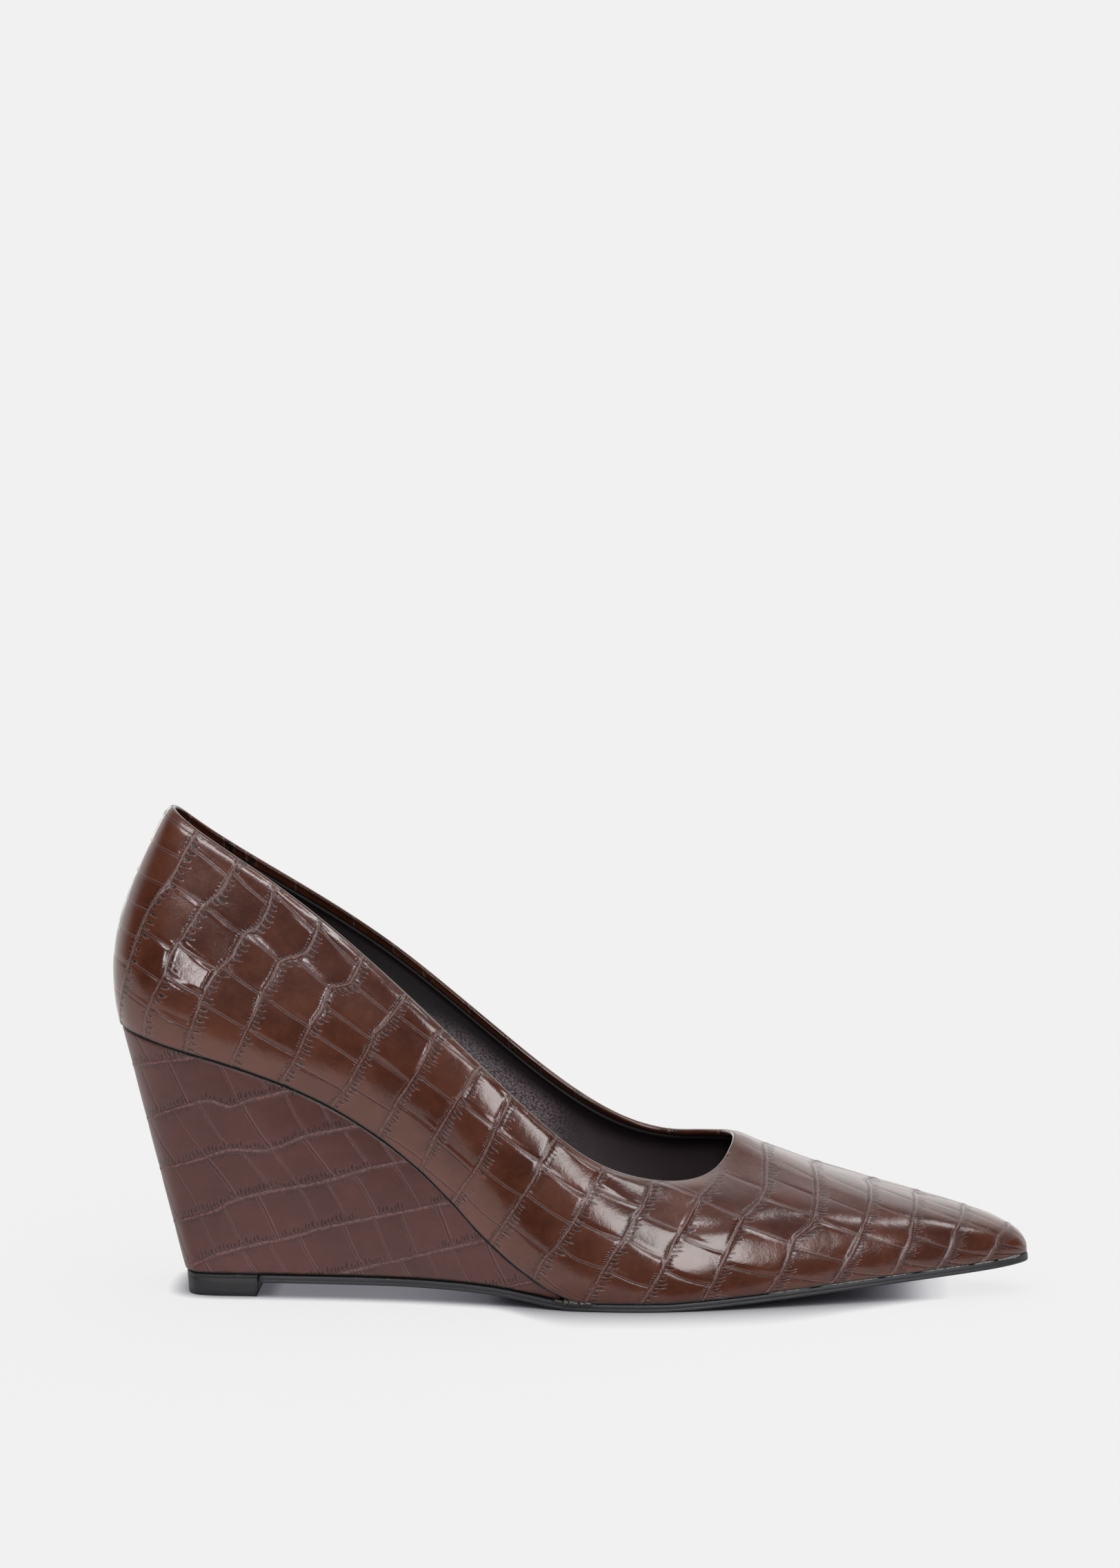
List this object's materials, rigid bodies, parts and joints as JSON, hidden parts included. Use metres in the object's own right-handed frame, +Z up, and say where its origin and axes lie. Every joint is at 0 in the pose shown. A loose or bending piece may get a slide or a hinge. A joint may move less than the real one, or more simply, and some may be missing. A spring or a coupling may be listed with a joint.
{
  "type": "wedge court shoe",
  "caption": "Pointed-toe court shoe in crocodile-grain leather on a high wrapped wedge, with a thin outsole, top lift and padded sock.",
  "frame": {"origin": "on the floor, under the middle of the shoe's box", "axes": "+X towards the toe, +Y towards the medial (inner) side, -Y the lateral side, +Z up"},
  "size_m": [0.2432, 0.0766, 0.1289],
  "materials": {
    "upper": "glossy crocodile-embossed leather, dark brown",
    "insole": "matt pebbled sock, black",
    "wedge_heel": "crocodile-embossed leather cover, dark brown",
    "outsole": "matt black",
    "top_lift": "satin black"
  },
  "bodies": {
    "root": {"upper": "upper", "insole": "insole", "wedge_heel": "wedge_heel", "outsole": "outsole", "top_lift": "top_lift"}
  },
  "joints": []
}
